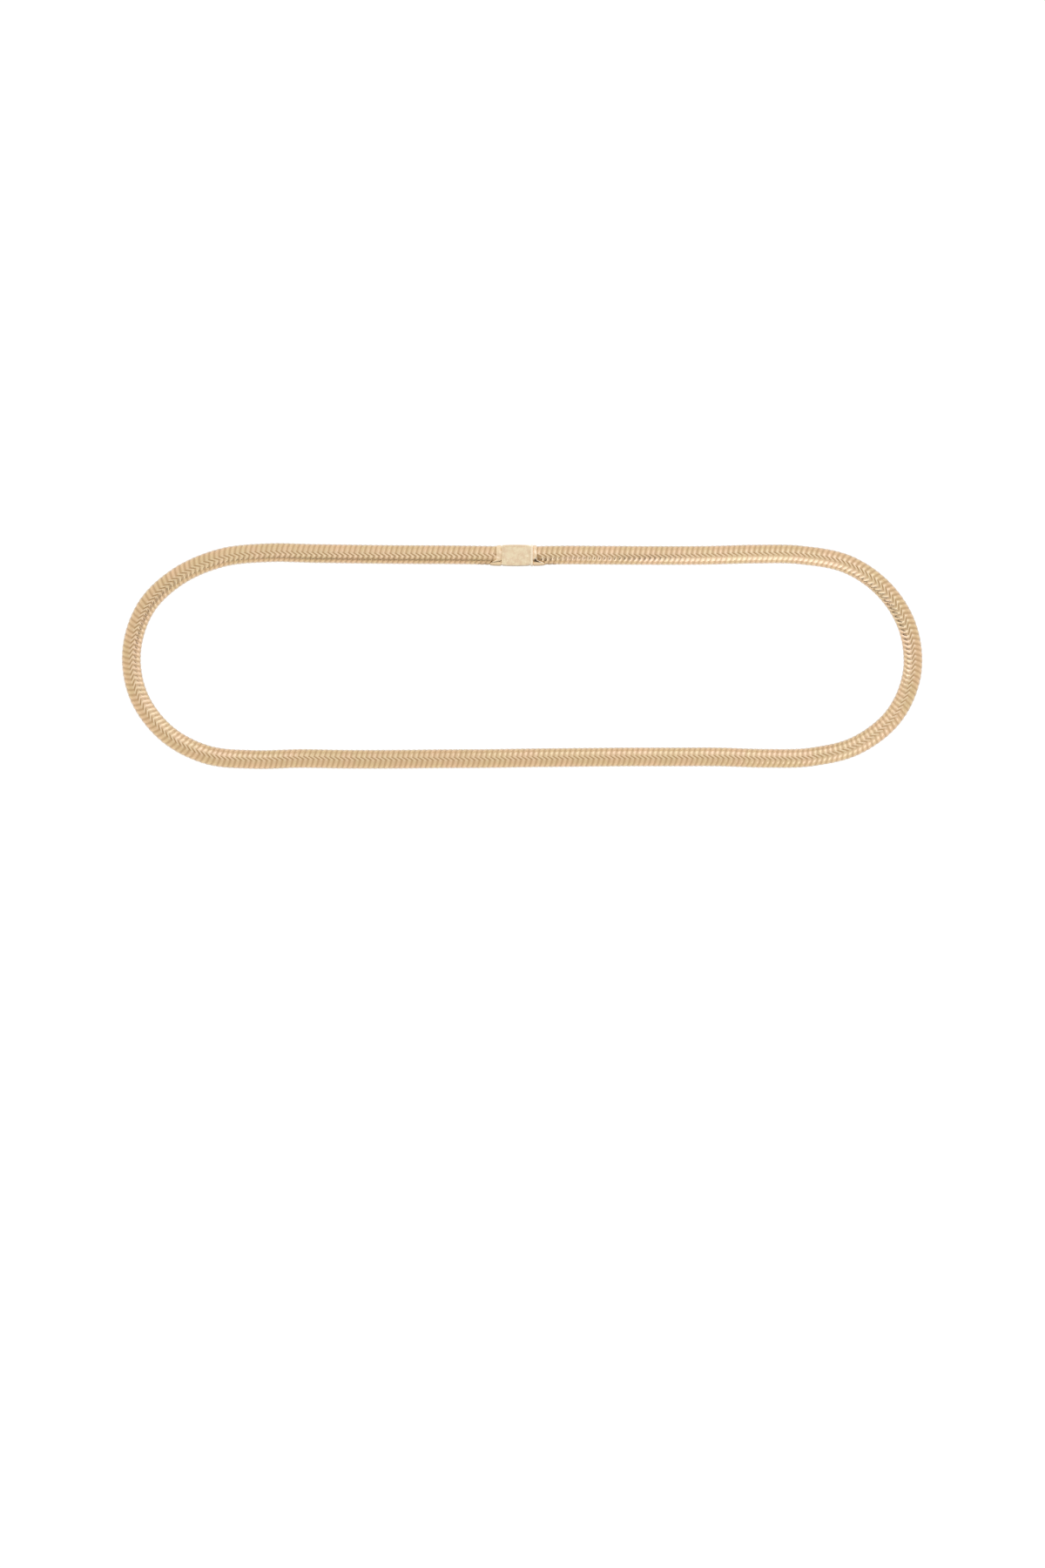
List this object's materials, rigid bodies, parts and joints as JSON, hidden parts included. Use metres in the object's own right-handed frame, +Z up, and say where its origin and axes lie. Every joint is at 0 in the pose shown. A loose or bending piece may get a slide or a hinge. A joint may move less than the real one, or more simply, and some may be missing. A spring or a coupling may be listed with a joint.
{
  "type": "snake chain belt",
  "caption": "Round snake chain closed into a long loop by a small rectangular box clasp, worn round the waist, lying flat.",
  "frame": {"origin": "middle of the belt's footprint, on the surface that it lies on", "axes": "+X along the loop's long way, to the right seen from above with the clasp at the far side; +Y from the plain side to the side with the clasp; +Z up"},
  "size_m": [0.3444, 0.0972, 0.009],
  "materials": {
    "chain_gold": "polished, light rosy gold plate over woven links",
    "cap_gold": "polished, light gold plate on drawn sheet",
    "clasp_gold": "satin, pale gold plate"
  },
  "bodies": {
    "root": {"chain": "chain_gold", "end_cap_left": "cap_gold", "clasp_box": "clasp_gold", "clasp_tongue": "clasp_gold", "end_cap_right": "cap_gold"}
  },
  "joints": []
}
